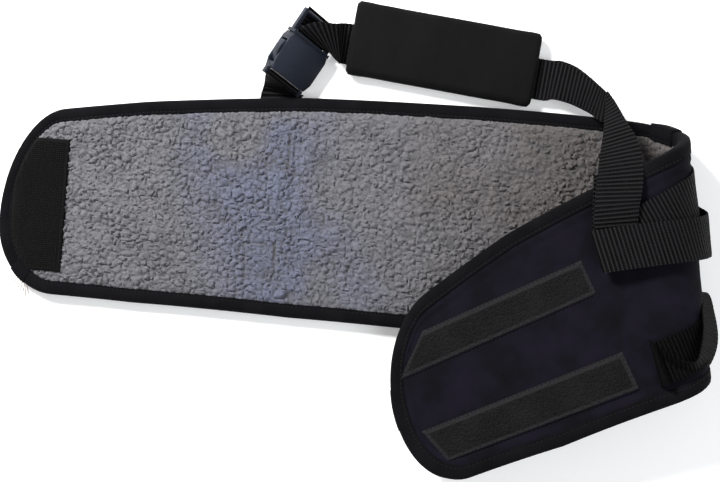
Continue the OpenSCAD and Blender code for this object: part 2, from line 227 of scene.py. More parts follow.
def loft(name, rings, material, uv=None, looped=False):
    """A closed skin through rings of the same number of points."""
    n, m = rings.shape[:2]
    faces = skin_faces(n, m, looped).tolist()
    if not looped:
        faces += [list(range(m)), [(n - 1) * m + q for q in range(m - 1, -1, -1)]]
    return mesh_object(name, rings, faces, material, uv)


def smooth_path(points, step):
    """Rows of points, (rows, points in a row, 3), carried along a smooth line and set a step apart."""
    p = np.asarray(points, float)
    before = np.concatenate([2 * p[:1] - p[1:2], p, 2 * p[-1:] - p[-2:-1]])
    fine = []
    for i in range(len(p) - 1):
        a, b, c, d = before[i], before[i + 1], before[i + 2], before[i + 3]
        for q in np.linspace(0, 1, 24, endpoint=False):
            fine.append(0.5 * (2 * b + (c - a) * q + (2 * a - 5 * b + 4 * c - d) * q * q
                               + (3 * b - a - 3 * c + d) * q ** 3))
    fine = np.array(fine + [p[-1]])
    along = distance_along(fine.mean(1))
    count = max(int(along[-1] / step), 2)
    at = np.linspace(0, along[-1], count + 1)
    flat = fine.reshape(len(fine), -1)
    return np.stack([np.interp(at, along, flat[:, k]) for k in range(flat.shape[1])], -1).reshape(
        count + 1, *p.shape[1:]), at


def unit(v):
    return v / np.maximum(np.linalg.norm(v, axis=-1, keepdims=True), 1e-9)


RIB_PITCH = 2.9


def webbing(name, rows, material, across=14, step=0.6, rib=0.2):
    """A woven strap through sections of two points, its two selvages, with a rib every few millimetres."""
    rows, along = smooth_path(rows, step)
    first, last = rows[:, 0], rows[:, 1]
    forward = unit(np.gradient(rows.mean(1), axis=0))
    side = unit(last - first)
    up = unit(np.cross(forward, side))
    v = np.linspace(0, 1, across)
    grid = first[:, None] * (1 - v)[None, :, None] + last[:, None] * v[None, :, None]
    phase = along[:, None] + 0 * v[None, :]
    wave = 0.5 + 0.5 * np.cos(2 * np.pi * phase / RIB_PITCH)
    crown = np.clip(1 - np.abs(2 * v - 1) ** 10, 0, 1) ** 0.5
    lift = (WEB_T / 2 - rib + rib * wave) * (0.55 + 0.45 * crown[None, :])
    scallop = 0.22 * (wave[:, :1] - 0.5)
    grid[:, 0] -= side * scallop
    grid[:, -1] += side * scallop
    top = grid + up[:, None] * lift[..., None]
    bottom = grid - up[:, None] * lift[..., None]
    width = np.linalg.norm(last - first, axis=1)
    uv = np.stack([phase * MM, v[None, :] * width[:, None] * MM], -1)
    return slab(name, top, bottom, material, uv, {"rib": wave})


def stitches(name, points, directions, normals, material, length=2.5, radius=0.3):
    """Thread stitches: small rounded grains at points, along directions on a surface with those normals."""
    p, d, n = (np.asarray(a, float) for a in (points, directions, normals))
    d = unit(d)
    b = unit(np.cross(n, d))
    n = unit(np.cross(d, b))
    m = 6
    turns = np.arange(m) * 2 * math.pi / m
    profile = ((-0.5, 0.35), (-0.3, 0.9), (0, 1.0), (0.3, 0.9), (0.5, 0.35))
    rings = []
    for q, r in profile:
        ring = (p + d * q * length)[:, None] + radius * r * (
            b[:, None] * np.cos(turns)[None, :, None] * 1.2 + n[:, None] * np.sin(turns)[None, :, None])
        ring -= (n * radius * 1.4 * (2 * abs(q)) ** 3)[:, None]
        rings.append(ring)
    size = m * len(profile)
    firsts = np.arange(len(p)) * size
    faces = (skin_faces(len(profile), m)[None] + firsts[:, None, None]).reshape(-1, 4).tolist()
    for first in firsts.tolist():
        faces += [[first + j for j in range(m)], [first + size - m + j for j in range(m - 1, -1, -1)]]
    return mesh_object(name, np.stack(rings, 1), faces, material)


# ---- Materials

class Net:
    """A few short calls for building a material's nodes."""

    def __init__(self, name, **sockets):
        self.material = bpy.data.materials.new(name)
        self.material.use_nodes = True
        self.tree = self.material.node_tree
        self.shader = self.tree.nodes["Principled BSDF"]
        for key, value in sockets.items():
            self.shader.inputs[key.replace("_", " ")].default_value = value

    def link(self, value, socket):
        if isinstance(value, bpy.types.NodeSocket):
            self.tree.links.new(value, socket)
        else:
            socket.default_value = value

    def node(self, kind, **inputs):
        made = self.tree.nodes.new(kind)
        for key, value in inputs.items():
            self.link(value, made.inputs[key.replace("_", " ")])
        return made

    def lay(self):
        made = self.tree.nodes.new("ShaderNodeUVMap")
        made.uv_map = "lay"
        return made.outputs[0]

    def mark(self, name):
        made = self.tree.nodes.new("ShaderNodeAttribute")
        made.attribute_name = name
        return made.outputs["Fac"]

    def here(self):
        return self.tree.nodes.new("ShaderNodeTexCoord").outputs["Object"]

    def noise(self, vector, scale, detail, rough):
        made = self.node("ShaderNodeTexNoise", Vector=vector, Scale=scale, Detail=detail, Roughness=rough)
        return made.outputs[0]

    def cells(self, vector, scale):
        return self.node("ShaderNodeTexVoronoi", Vector=vector, Scale=scale).outputs["Distance"]

    def sum(self, operation, a, b=0.0):
        """One step of arithmetic, as the node's operation names it."""
        made = self.tree.nodes.new("ShaderNodeMath")
        made.operation = operation
        self.link(a, made.inputs[0])
        self.link(b, made.inputs[1])
        return made.outputs[0]

    def stretch(self, vector, scale):
        made = self.tree.nodes.new("ShaderNodeMapping")
        self.link(vector, made.inputs["Vector"])
        made.inputs["Scale"].default_value = scale
        return made.outputs[0]

    def part(self, vector, axis):
        made = self.tree.nodes.new("ShaderNodeSeparateXYZ")
        self.link(vector, made.inputs[0])
        return made.outputs[axis]

    def ramp(self, fac, *stops):
        made = self.tree.nodes.new("ShaderNodeValToRGB")
        ramp = made.color_ramp
        while len(ramp.elements) < len(stops):
            ramp.elements.new(0.5)
        for element, (at, colour) in zip(ramp.elements, stops):
            element.position = at
            element.color = colour if hasattr(colour, "__len__") else (colour, colour, colour, 1)
        self.link(fac, made.inputs[0])
        return made.outputs[0]

    def mix(self, fac, a, b):
        made = self.tree.nodes.new("ShaderNodeMix")
        made.data_type = "RGBA"
        self.link(fac, made.inputs[0])
        self.link(a, made.inputs[6])
        self.link(b, made.inputs[7])
        return made.outputs[2]

    def bump(self, height, strength, distance, normal=None):
        made = self.node("ShaderNodeBump", Height=height)
        made.inputs["Strength"].default_value = strength
        made.inputs["Distance"].default_value = distance
        if normal is not None:
            self.link(normal, made.inputs["Normal"])
        return made.outputs[0]

    def finish(self, colour, rough, normal):
        self.link(colour, self.shader.inputs["Base Color"])
        self.link(rough, self.shader.inputs["Roughness"])
        self.link(normal, self.shader.inputs["Normal"])
        return self.material


def rgb(r, g, b):
    """A colour from its display values, 0 to 255."""
    def one(c):
        c /= 255
        return c / 12.92 if c <= 0.04045 else ((c + 0.055) / 1.055) ** 2.4
    return (one(r), one(g), one(b), 1)


def fleece_material():
    net = Net("sherpa_fleece", Sheen_Weight=0.12, Sheen_Roughness=0.6, Specular_IOR_Level=0.1)
    lay = net.lay()
    nub = net.mark("nub")
    browner_shaded_zone = net.mark("browner_shaded_zone")
    fibre = net.noise(net.stretch(lay, (1, 1, 1)), 1900, 3, 0.65)
    curl = net.noise(lay, 650, 2, 0.5)
    cloud = net.noise(lay, 22, 3, 0.5)
    left = net.mix(cloud, rgb(82, 82, 88), rgb(106, 104, 108))
    blue = net.mix(cloud, rgb(62, 73, 106), rgb(81, 91, 125))
    # right end: browner, the fleece's own tone, and darker, partly painted shade
    right = net.mix(cloud, rgb(62, 53, 45), rgb(78, 68, 59))
    colour = net.mix(net.mark("blue"), net.mix(browner_shaded_zone, left, right), blue)
    # painted shade: where the nub mark is low, in the crevices between the curls, the colour is mixed most of
    # the way to near black; the tops keep it
    unshaded_tops = net.ramp(nub, (0.1, 0.0), (0.5, 0.6), (0.9, 1.0))
    colour = net.mix(unshaded_tops, net.mix(0.93, colour, rgb(14, 14, 17)), colour)
    colour = net.mix(net.sum("MULTIPLY", fibre, 0.6), colour, net.mix(0.5, colour, rgb(30, 30, 36)))
    colour = net.mix(net.sum("MULTIPLY", curl, 0.35), colour, rgb(158, 157, 162))
    normal = net.bump(net.sum("ADD", net.sum("MULTIPLY", fibre, 0.6), curl), 1.0, 0.0014)
    return net.finish(colour, net.ramp(fibre, (0.0, 0.8), (1.0, 1.0)), normal)


def cloth_material(name, dark, light, pitch, weave, sheen, tint=(0.6, 0.6, 0.75, 1)):
    """Black knitted or woven cloth with a fine thread pattern, faint streaks and sparse painted glints."""
    net = Net(name, Sheen_Weight=sheen, Sheen_Roughness=0.5, Sheen_Tint=tint, Specular_IOR_Level=0.05)
    lay = net.lay()
    u = net.sum("SINE", net.sum("MULTIPLY", net.part(lay, 0), 2 * math.pi / pitch))
    v = net.sum("SINE", net.sum("MULTIPLY", net.part(lay, 1), 2 * math.pi / pitch))
    thread = net.sum("MULTIPLY", net.sum("ADD", net.sum("MULTIPLY", u, v), 1.0), 0.5)
    worn = net.noise(lay, 35, 4, 0.6)
    fine = net.noise(lay, 1500, 2, 0.6)
    colour = net.mix(net.ramp(worn, (0.3, 0.0), (0.75, 1.0)), dark, light)
    colour = net.mix(net.sum("MULTIPLY", thread, 0.45), colour, net.mix(0.5, colour, light))
    # painted glints: sparse light specks from fine noise
    colour = net.mix(net.ramp(fine, (0.6, 0.0), (0.8, 0.5)), colour, net.mix(0.06, light, rgb(120, 118, 128)))
    normal = net.bump(thread, weave, 0.0003)
    normal = net.bump(worn, 0.25, 0.0012, normal)
    return net.finish(colour, net.ramp(fine, (0.2, 0.78), (0.8, 0.95)), normal)


def webbing_material(name, crown, worn_crown, spec):
    """Ribbed nylon tape: painted shade, near black, between the ribs, with crossing threads, duller worn
    crowns and sparse painted glints.
    """
    net = Net(name, Sheen_Weight=0.005, Sheen_Roughness=0.4, Specular_IOR_Level=spec)
    lay = net.lay()
    rib = net.mark("rib")
    v = net.sum("SINE", net.sum("MULTIPLY", net.part(lay, 1), 2 * math.pi / 0.0011))
    cross = net.sum("MULTIPLY", net.sum("ADD", v, 1.0), 0.5)
    worn = net.noise(lay, 60, 4, 0.6)
    fine = net.noise(lay, 1800, 2, 0.6)
    # painted shade: the grooves between the ribs are near black, the ribs take the crown colour
    colour = net.mix(net.ramp(rib, (0.4, 0.0), (0.95, 1.0)), rgb(1, 1, 1), crown)
    colour = net.mix(net.sum("MULTIPLY", cross, 0.5), colour, net.mix(0.6, colour, rgb(6, 6, 7)))
    colour = net.mix(net.ramp(worn, (0.45, 0.0), (0.9, 0.5)), colour, worn_crown)
    # painted glints: sparse light specks on the threads
    colour = net.mix(net.ramp(fine, (0.58, 0.0), (0.8, 0.7)), colour, rgb(56, 54, 58))
    normal = net.bump(net.sum("ADD", rib, net.sum("MULTIPLY", cross, 0.45)), 0.9, 0.0006)
    return net.finish(colour, net.ramp(fine, (0.2, 0.5), (0.9, 0.75)), normal)


def plastic_material():
    net = Net("moulded_plastic", Specular_IOR_Level=0.2, Coat_Weight=0.03, Coat_Roughness=0.35)
    here = net.here()
    grain = net.noise(here, 2600, 2, 0.5)
    worn = net.noise(here, 120, 4, 0.65)
    scratch = net.noise(net.stretch(here, (900, 90, 300)), 1.0, 3, 0.5)
    edge = net.node("ShaderNodeNewGeometry").outputs["Pointiness"]
    colour = net.mix(net.ramp(worn, (0.3, 0.0), (0.8, 1.0)), rgb(9, 13, 23), rgb(18, 24, 38))
    # painted highlight: the convex edges, and the faces that pointiness spreads them over, turn a lighter
    # slate
    colour = net.mix(net.ramp(edge, (0.52, 0.0), (0.62, 0.7)), colour, rgb(34, 41, 54))
    colour = net.mix(net.ramp(scratch, (0.66, 0.0), (0.74, 0.35)), colour, rgb(74, 76, 84))
    normal = net.bump(grain, 0.25, 0.0002)
    normal = net.bump(scratch, 0.1, 0.0002, normal)
    return net.finish(colour, net.ramp(worn, (0.2, 0.42), (0.9, 0.58)), normal)


def tape_material(name, dark, light, scale, bump):
    """Loop pile or hook tape: a matt felt of small threads."""
    net = Net(name, Sheen_Weight=0.01, Sheen_Roughness=0.5, Specular_IOR_Level=0.05)
    lay = net.lay()
    pile = net.noise(lay, scale, 4, 0.7)
    knots = net.cells(lay, scale * 0.6)
    worn = net.noise(lay, 45, 3, 0.6)
    border = net.mark("border")
    colour = net.mix(net.ramp(pile, (0.35, 0.0), (0.7, 1.0)), dark, light)
    colour = net.mix(net.ramp(worn, (0.4, 0.0), (0.9, 0.6)), colour, light)
    colour = net.mix(net.sum("MULTIPLY", border, 0.75), colour, net.mix(0.3, light, rgb(52, 52, 55)))
    normal = net.bump(net.sum("SUBTRACT", pile, knots), bump, 0.0008)
    return net.finish(colour, net.ramp(pile, (0.3, 0.7), (0.8, 0.95)), normal)


def thread_material(name, dark, light, rough):
    net = Net(name, Sheen_Weight=0.03, Specular_IOR_Level=0.12)
    here = net.here()
    twist = net.noise(net.stretch(here, (1800, 1800, 1800)), 1.0, 2, 0.5)
    colour = net.mix(twist, dark, light)
    return net.finish(colour, rough, net.bump(twist, 0.5, 0.0003))


fleece_mat = fleece_material()
cover_mat = cloth_material("cover_knit", rgb(8, 8, 9), rgb(21, 18, 29), 0.0009, 0.5, 0.015)
binding_mat = cloth_material("binding_tape", rgb(5, 5, 6), rgb(16, 15, 18), 0.0012, 0.8, 0.01)
sleeve_mat = cloth_material("grip_foam_cloth", rgb(11, 11, 11), rgb(17, 17, 17), 0.0007, 0.35, 0.015,
                            tint=(0.8, 0.8, 0.8, 1))
web_mat = webbing_material("webbing_nylon", rgb(35, 34, 36), rgb(22, 21, 25), 0.05)
# a darker copy of the webbing: painted shade for the lower right loop, whose open inside lies in shadow
shaded_web_mat = webbing_material("webbing_painted_shade", rgb(16, 16, 17), rgb(10, 10, 11), 0.02)
plastic_mat = plastic_material()
loop_mat = tape_material("loop_pile", rgb(4, 4, 4), rgb(30, 30, 31), 900, 0.9)
hook_mat = tape_material("hook_tape", rgb(4, 4, 4), rgb(17, 17, 17), 1300, 0.8)
thread_mat = thread_material("black_thread", rgb(6, 6, 7), rgb(20, 20, 23), 0.6)
fray_mat = thread_material("frayed_thread", rgb(92, 74, 66), rgb(150, 132, 122), 0.8)


# ---- Camera first, then the pieces

CAMERA_AT = (0.0006, -0.003, 0.850)
CAMERA_LENS = 57.5
camera_data = bpy.data.cameras.new("camera")
camera_data.lens = CAMERA_LENS
camera_data.sensor_width = 36
camera_data.clip_start = 0.01
camera = bpy.data.objects.new("camera", camera_data)
camera.location = CAMERA_AT
bpy.context.scene.collection.objects.link(camera)
bpy.context.scene.camera = camera


# ---- The band: three lengths of one panel, which meet at the crease and on the bend

SEAM_LEFT = -256.0
SEAM_BEND = 60.0
EDGE_IN = 9.3


def stations(start, end, step):
    """Places along the band from start to end, closer together round a tip."""
    tip_left, tip_right = -BAND_LEN + END_R, FLAP_LEN - END_R
    run = END_R - EDGE_IN
    turn_count = int(run * 1.57 / step)
    marks = []
    if start < tip_left:
        marks += [tip_left - run * math.sin(math.radians(a)) for a in np.linspace(89, 0, turn_count)]
        start = tip_left + step
    last = min(end, tip_right)
    marks += list(np.linspace(start, last, int((last - start) / step) + 1))
    if end > tip_right:
        marks += [tip_right + run * math.sin(math.radians(a)) for a in np.linspace(0, 89, turn_count)[1:]]
    return np.array(marks)


def panel_grid(start, end, step, across):
    s = stations(start, end, step)
    v = np.linspace(0, 1, across)
    low, high = edge_t(s, -1, EDGE_IN), edge_t(s, 1, EDGE_IN)
    t = low[:, None] * (1 - v) + high[:, None] * v
    inside = np.minimum(t - low[:, None], high[:, None] - t)
    ends = np.minimum(s + BAND_LEN - EDGE_IN, FLAP_LEN - EDGE_IN - s)[:, None]
    return s[:, None] + 0 * t, t, np.minimum(inside, np.maximum(ends, 0))


# Box stitches that show through the fleece: middle in s and t, half sizes, turn, and how strongly the lines
# and the far side show
BOXES = [(-279, 61.5, 11, 13, 0.0, 0.3, 1.0), (-284, -19.5, 11, 12, 0.05, 0.45, 0.95),
         (-96, 69.5, 16, 11, -0.14, 0.55, 0.55)]


def box_marks(s, t):
    """How deep the sewn boxes pull the fleece down: 1 on a line of stitches, less inside the box."""
    deep = np.zeros(s.shape)
    for bs, bt, hs, ht, turn, plain, far in BOXES:
        x = (s - bs) * math.cos(turn) + (t - bt) * math.sin(turn)
        y = -(s - bs) * math.sin(turn) + (t - bt) * math.cos(turn)
        out = np.maximum(np.abs(x) - hs, np.abs(y) - ht)
        line = np.exp(-(out / 1.2) ** 2) * np.where((x > hs - 2) & (np.abs(y) < ht), far, plain)
        inside = smooth(-out / 2)
        cross = np.exp(-((np.abs(x / hs) - np.abs(y / ht)) * ht / 1.6) ** 2) * inside
        deep = np.maximum(deep, np.maximum(line, np.maximum(0.12 * inside, 0.8 * plain * cross)))
    return deep


def fleece_height(s, t, inside):
    """Height of the pile, and how far up its curls a point is."""
    wx = 0.88 * s + 0.47 * t + 1.9 * noise(s, t, 8, 21) + 0.6 * noise(s, t, 2.6, 23)
    wy = 0.88 * t - 0.47 * s + 1.9 * noise(s, t, 8, 22) + 0.6 * noise(s, t, 2.6, 24)
    first, second, own = cells(wx, wy, 5.2, 3)
    curl = smooth((second - first) * 1.7 + 0.25 * (1 + noise(s, t, 11, 25)))
    small_first, small_second, _ = cells(wx, wy, 2.4, 9)
    small = smooth((small_second - small_first) * 1.4)
    nub = np.clip(0.52 * curl * (0.75 + 0.5 * own) + 0.38 * small + 0.1 * (1 + noise(s, t, 1.3, 26)), 0, 1)
    rise = quarter_round(inside, PILE_RUN)
    base = H_RIM + (H_TOP - H_RIM) * rise
    swell = 0.55 * noise(s, t, 34, 5) + 0.4 * noise(s, t, 13, 6)
    line = -259 + 0.09 * (t - 10)
    strength = smooth((t - 2) / 20)
    crease = strength * (1.1 * np.exp(-((s - line) / 3.5) ** 2) - 0.9 * np.exp(-((s - line + 8) / 4.5) ** 2))
    pulled = box_marks(s, t)
    sunk = 3.9 * (1 - nub) * (0.35 + 0.65 * rise) * (1 - 0.6 * pulled)
    height = base + (swell + crease) * rise - sunk - 2.6 * pulled
    # the sewn lines also lower the nub mark, so the fleece material paints them darker: painted shade in the
    # dents
    return height, np.clip(nub - 0.55 * pulled, 0, 1)


def cover_height(s, t):
    """Outer face of the cover with its faint wrinkles."""
    bend = np.exp(-((s - 48) / 40) ** 2)
    waves = 0.22 * noise(s, t, 26, 31) + 0.12 * noise(s, t * 0.45, 9, 32)
    return waves + bend * 0.3 * noise(s * 0.7, t * 0.2, 8, 33)


def band_length(tag, start, end, step, fleece_across, node):
    """One length of the panel: fleece on its foam, the cover, the bound edges and their stitches."""
    s, t, inside = panel_grid(start, end, step, fleece_across)
    high, nub = fleece_height(s, t, inside)
    uv = pattern_uv(s, t)
    # Towards the bend the fleece turns browner, its own tone, and darker, partly painted shade from the strap
    # and the bend.
    browner_shaded_zone = smooth((s + 235) / 190 + 0.25 * noise(s, t, 40, 41))
    blue = smooth(1.25 - np.abs(s + 270 + 0.35 * t) / 75) * smooth(0.62 + 0.9 * noise(s, t, 34, 42))
    pile = slab("fleece_" + tag, place(s, t, high), place(s, t, H_FOAM + 0 * s), fleece_mat, uv,
                {"nub": nub, "browner_shaded_zone": browner_shaded_zone, "blue": 0.8 * blue})
    s, t, inside = panel_grid(start, end, 2.2, 60)
    uv = pattern_uv(s, t)
    out = cover_height(s, t) * smooth(inside / 8)
    beside = smooth((s + 40) / 60)
    out += beside * (0.75 * np.exp(-((inside - 7.5) / 0.9) ** 2) - 0.45 * np.exp(-((inside - 4) / 2.4) ** 2))
    skin = slab("cover_" + tag, place(s, t, 1.2 + 0 * s), place(s, t, out), cover_mat, uv)
    edge, thread = bound_edge(tag, start, end)
    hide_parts(node + "_fleece", node + "_foam")
    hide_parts(node + "_cover")
    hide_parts(node + "_binding")
    return [pile, skin, edge, thread]


# Section of the folded binding: distance from the edge, height
BINDING = np.array([[10.3, -0.1], [10.1, -0.75], [8.7, -0.85], [8.1, -0.5], [7.5, -0.85], [5.5, -1.05],
                    [3.2, -1.05], [1.3, -0.75], [0.2, 0.3], [-0.25, 1.8], [-0.3, 3.3], [-0.2, 4.8],
                    [0.3, 6.3], [1.4, 7.4], [3.3, 7.95], [5.6, 8.0], [7.4, 7.7], [8.0, 7.25], [8.6, 7.6],
                    [9.9, 7.4], [10.3, 6.9], [10.1, 6.2], [1.2, 5.9], [1.0, 3.0], [1.2, 0.1]])


def edge_rows(start, end, step=2.5):
    """Rows along the edge, each (place, side, tip angle or None), running round any tip."""
    plain = list(np.arange(max(start, -BAND_LEN + END_R), min(end, FLAP_LEN - END_R) + 0.01, step))
    last = min(end, FLAP_LEN - END_R)
    if last - plain[-1] > 0.3:
        plain.append(last)
    lower = [(p, -1, None) for p in plain]
    upper = [(p, 1, None) for p in plain]
    turn = np.radians(np.linspace(3, 87, 26))
    if start < -BAND_LEN + END_R:
        tip = [(-BAND_LEN, -1, a) for a in turn] + [(-BAND_LEN, 1, a) for a in turn[::-1]]
        return [lower[::-1] + tip + upper]
    if end > FLAP_LEN - END_R:
        tip = [(FLAP_LEN, -1, a) for a in turn] + [(FLAP_LEN, 1, a) for a in turn[::-1]]
        return [lower + tip + upper[::-1]]
    return [lower, upper]


def edge_point(row, d, h):
    at, side, angle = row
    if angle is None:
        s = at
        return s, float(edge_t(s, side, d)), h
    s = at + (END_R - (END_R - d) * math.sin(angle)) * (1 if at < 0 else -1)
    half = float(np.interp(s, HALF_S, HALF_W)) - d
    return s, float(centre_t(np.float64(s))) + side * half * math.cos(angle), h


def bound_edge(tag, start, end):
    verts, faces, uvs, seam = [], [], [], []
    m = len(BINDING)
    round_it = distance_along(BINDING)
    for run in edge_rows(start, end):
        rings = []
        middle = []
        for row in run:
            pts = np.array([edge_point(row, d, h) for d, h in BINDING])
            rings.append(pts)
            middle.append(edge_point(row, 4, 4)[:2])
        rings = np.array(rings)
        middle = np.array(middle)
        along = distance_along(middle)
        pucker = 0.14 * noise(along[:, None] + 0 * rings[..., 0], round_it[None, :] * 2, 3.4, 51) \
            + 0.22 * noise(along[:, None] + 0 * rings[..., 0], round_it[None, :], 17, 52)
        rings[..., 2] += pucker * np.where(BINDING[:, 1] > 3, 1, -0.6)[None, :]
        first = len(verts)
        verts += place(*np.moveaxis(rings, -1, 0)).reshape(-1, 3).tolist()
        n = len(run)
        faces += (skin_faces(n, m) + first).tolist()
        faces += [[first + j for j in range(m)], [first + (n - 1) * m + j for j in range(m - 1, -1, -1)]]
        uvs += np.stack([along[:, None] * MM + 0 * rings[..., 0], round_it[None, :] * MM + 0 * rings[..., 0]],
                        -1).reshape(-1, 2).tolist()
        for high, sign in ((7.45, 1), (-0.75, -1)):
            line = np.array([edge_point(row, 8.05, high) for row in run])
            out = np.array([edge_point(row, 8.05, high + sign) for row in run])
            p, q = place(*line.T), place(*out.T)
            run_at = distance_along(p)
            at = np.arange(1.6, run_at[-1] - 1.5, 3.2)
            p2 = np.stack([np.interp(at, run_at, p[:, k]) for k in range(3)], -1)
            n2 = np.stack([np.interp(at, run_at, (q - p)[:, k]) for k in range(3)], -1)
            d2 = np.stack([np.interp(at + 1, run_at, p[:, k]) for k in range(3)], -1) - p2
            seam.append((p2, d2, n2))
    edge = mesh_object("binding_" + tag, verts, faces, binding_mat, uvs)
    p, d, n = (np.concatenate([part[k] for part in seam]) for k in range(3))
    thread = stitches("binding_stitches_" + tag, p, d, n, thread_mat, 2.3, 0.28)
    return edge, thread


def lap(tag, rows, swell, threads=()):
    """The end of the binding tape, lapped over itself and sewn down, with any loose threads."""
    n, m = len(rows), len(BINDING)
    rings = []
    for i, row in enumerate(rows):
        grow = swell * (0.55 + 0.45 * math.sin(math.pi * min(max((i + 0.5) / n, 0), 1)))
        ring = []
        for d, h in BINDING:
            outward = grow * (0.6 if d < 3 else -0.15)
            upward = grow * (0.6 if h > 3 else 0.02)
            ring.append(edge_point(row, d - outward, h + upward))
        rings.append(ring)
    rings = np.array(rings)
    rings[..., 2] += 0.1 * swell * (1 + noise(rings[..., 0] * 1.3, rings[..., 1] * 1.3, 4, 55))
    flat = 0 * rings[..., 0]
    uv = pattern_uv(2 * np.arange(n)[:, None] + flat, distance_along(BINDING)[None, :] + flat)
    piece = loft("binding_lap_" + tag, place(*np.moveaxis(rings, -1, 0)), binding_mat, uv)
    made = [piece]
    for k, (s, t, h, ds, dt, dh) in enumerate(threads):
        q = np.linspace(0, 1, 12)
        curl = 0.5 * np.sin(q * 5 + k)
        line = place(s + ds * q + curl * 0.4, t + dt * q + curl * 0.3, h + dh * q * q)
        turns = np.linspace(0, 2 * np.pi, 6, endpoint=False)
        way = unit(np.gradient(line, axis=0))
        a = unit(np.cross(way, np.array([0.2, 0.3, 1.0])))
        b = np.cross(way, a)
        tube = line[:, None] + 0.27 * (a[:, None] * np.cos(turns)[None, :, None]
                                       + b[:, None] * np.sin(turns)[None, :, None])
        thread = loft("binding_thread_%s_%d" % (tag, k), tube, fray_mat)
        made.append(thread)
    return made


HOOK_FROM = Vector(place(HOOK_S - 18, 0, 6) * MM)
HOOK_TO = Vector(place(HOOK_S + 18, 0, 6) * MM)
flap_mid = place(FLAP_S, 0, 2)
flap_way = unit(place(FLAP_S + 4, -4 * FLAP_SLANT, 2) - flap_mid)


def on_hook_fold(piece):
    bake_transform(piece)


def on_flap_fold(piece):
    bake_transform(piece)


FINE = 0.95
for piece in band_length("left", -BAND_LEN + EDGE_IN, SEAM_LEFT, FINE, 158, "hook"):
    on_hook_fold(piece)
for piece in band_length("middle", SEAM_LEFT, SEAM_BEND, FINE * 1.2, 158, "centre"):
    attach(piece, "band")
for piece in band_length("right", SEAM_BEND, FLAP_LEN - EDGE_IN, 2.0, 70, "flap"):
    on_flap_fold(piece)


def nearest_row(run, near):
    """Index of the row of an edge that is nearest to a place of the pattern."""
    return min(range(len(run)), key=lambda i: np.hypot(*(np.array(edge_point(run[i], 4, 4)[:2]) - near)))


# ends of the binding tape: at the hook tip with frayed threads, on the flap's tip, and a bulky one on
# the bend
hook_run = edge_rows(-BAND_LEN + EDGE_IN, SEAM_LEFT)[0]
flap_run = edge_rows(SEAM_BEND, FLAP_LEN - EDGE_IN)[0]
bend_run = edge_rows(SEAM_LEFT, SEAM_BEND)[1]
hook_at = nearest_row(hook_run, (-459, -41))
flap_at = nearest_row(flap_run, (296, -37))
bend_rows = [r for r in bend_run if -4 < r[0] < 22]
frays = []
for k in range(9):
    root = (-462 + 1.3 * k, -44 - 0.9 * k, 5.2 + 0.4 * (k % 3))
    reach = (-5.5 + 0.8 * k, -6.0 - 0.9 * (k % 4), -1.5 - 0.5 * (k % 3))
    frays.append(root + reach)
for piece in lap("hook", hook_run[hook_at - 3:hook_at + 3], 0.9, frays):
    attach(piece, "hook_end")
for piece in lap("flap", flap_run[flap_at - 4:flap_at + 4], 1.1):
    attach(piece, "closure_flap")
for piece in lap("bend", bend_rows, 3.6):
    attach(piece, "band")


# ---- Hook patch and loop strips

def tape_piece(name, corners, thick, base, sign, material, border, node, rough=0.18):
    """A flat tape with four corners in the pattern: (low start, low end, high end, high start)."""
    a, b, c, d = (np.array(p, float) for p in corners)
    length, width = np.linalg.norm(b - a), np.linalg.norm(d - a)
    n, m = int(length / 0.9), int(width / 0.9)
    u, v = np.linspace(0, 1, n)[:, None], np.linspace(0, 1, m)[None, :]
    p = ((1 - u) * (1 - v))[..., None] * a + (u * (1 - v))[..., None] * b + (u * v)[..., None] * c \
        + ((1 - u) * v)[..., None] * d
    s, t = p[..., 0], p[..., 1]
    inside = np.minimum(np.minimum(u * length, (1 - u) * length), np.minimum(v * width, (1 - v) * width))
    round_edge = quarter_round(inside, 0.8)
    rim = smooth((border - inside) / 0.8)
    pile = rough * (noise(s, t, 1.5, 61) + 0.7 * noise(s, t, 2.9, 62)) * (1 - rim)
    groove = np.exp(-((inside - border * 0.5) / 0.45) ** 2) * 0.25
    high = base + sign * (0.15 + (thick - 0.15) * round_edge * (1 - 0.3 * rim) + pile - groove)
    uv = pattern_uv(s, t)
    piece = slab(name, place(s, t, high), place(s, t, base + 0 * s), material, uv, {"border": rim})
    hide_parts(node)
    # stitches along the border
    ring = [(a, b), (b, c), (c, d), (d, a)]
    mid = (a + b + c + d) / 4
    points, dirs, norms = [], [], []
    for p0, p1 in ring:
        q0, q1 = (p + (mid - p) / np.linalg.norm(mid - p) * border * 0.65 for p in (p0, p1))
        run = np.linalg.norm(q1 - q0)
        for at in np.arange(2, run - 1, 3.1):
            w = q0 + (q1 - q0) * at / run
            w2 = q0 + (q1 - q0) * (at + 1) / run
            h = base + sign * (thick * 0.7 + 0.02)
            points.append(place(w[0], w[1], h))
            dirs.append(place(w2[0], w2[1], h) - points[-1])
            norms.append(place(w[0], w[1], h + sign) - points[-1])
    thread = stitches(name + "_stitches", points, dirs, norms, thread_mat, 2.2, 0.25)
    return piece, thread


strip_up = tape_piece("loop_strip_upper_pile", [(141.5, 7), (290, -19.5), (265.5, 10.5), (146, 32)],
                      1.6, -0.05, -1, loop_mat, 3.4, "loop_strip_upper")
strip_low = tape_piece("loop_strip_lower_pile", [(129.6, -63.5), (271, -83), (284, -58.5), (134.5, -36)],
                       1.6, -0.05, -1, loop_mat, 3.4, "loop_strip_lower")
for piece in strip_up + strip_low:
    on_flap_fold(piece)

patch_s0, patch_s1 = -467.4, -427.5


